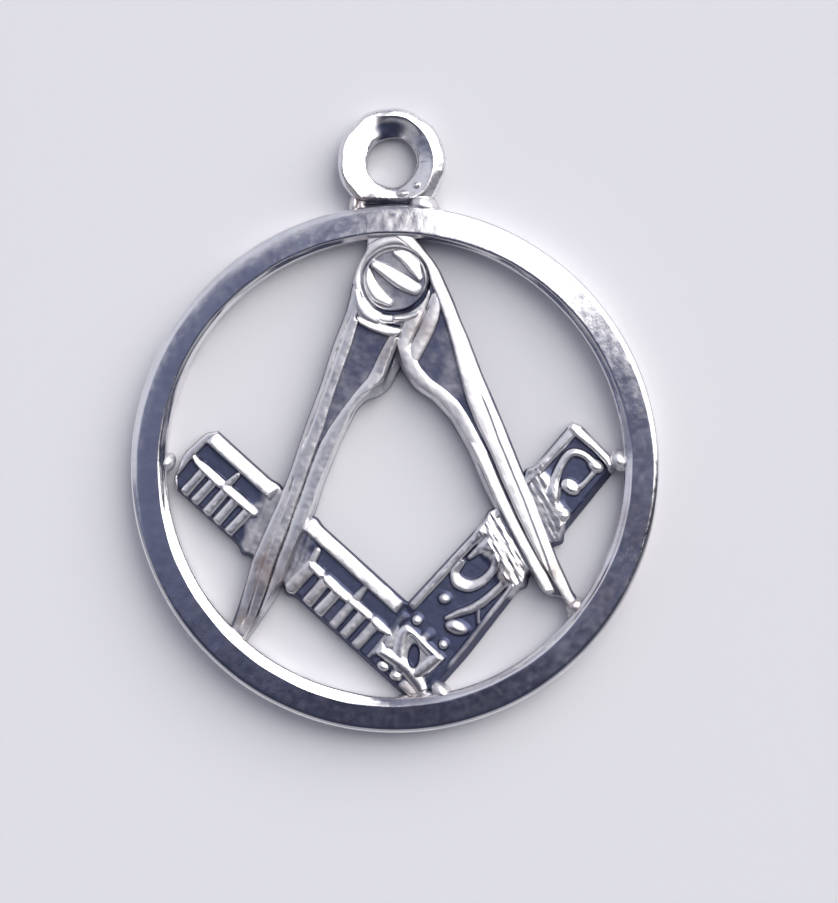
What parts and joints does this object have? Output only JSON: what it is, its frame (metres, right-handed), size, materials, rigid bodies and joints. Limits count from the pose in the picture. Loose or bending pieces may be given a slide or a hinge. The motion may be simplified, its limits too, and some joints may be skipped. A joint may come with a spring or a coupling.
{
  "type": "masonic watch fob",
  "caption": "Round pierced silver fob with the square and compasses inside a flat ring, and a round suspension loop at the top.",
  "frame": {"origin": "under the middle of the outline, on the surface that the fob lies on", "axes": "+Z out of the face, +Y towards the suspension loop, +X to the right as the face is looked at"},
  "size_m": [0.026, 0.0308, 0.0016],
  "materials": {
    "silver": "worn cast sterling silver, bright on the raised edges and darker in the recesses"
  },
  "bodies": {
    "root": {"fob": "silver"}
  },
  "joints": []
}
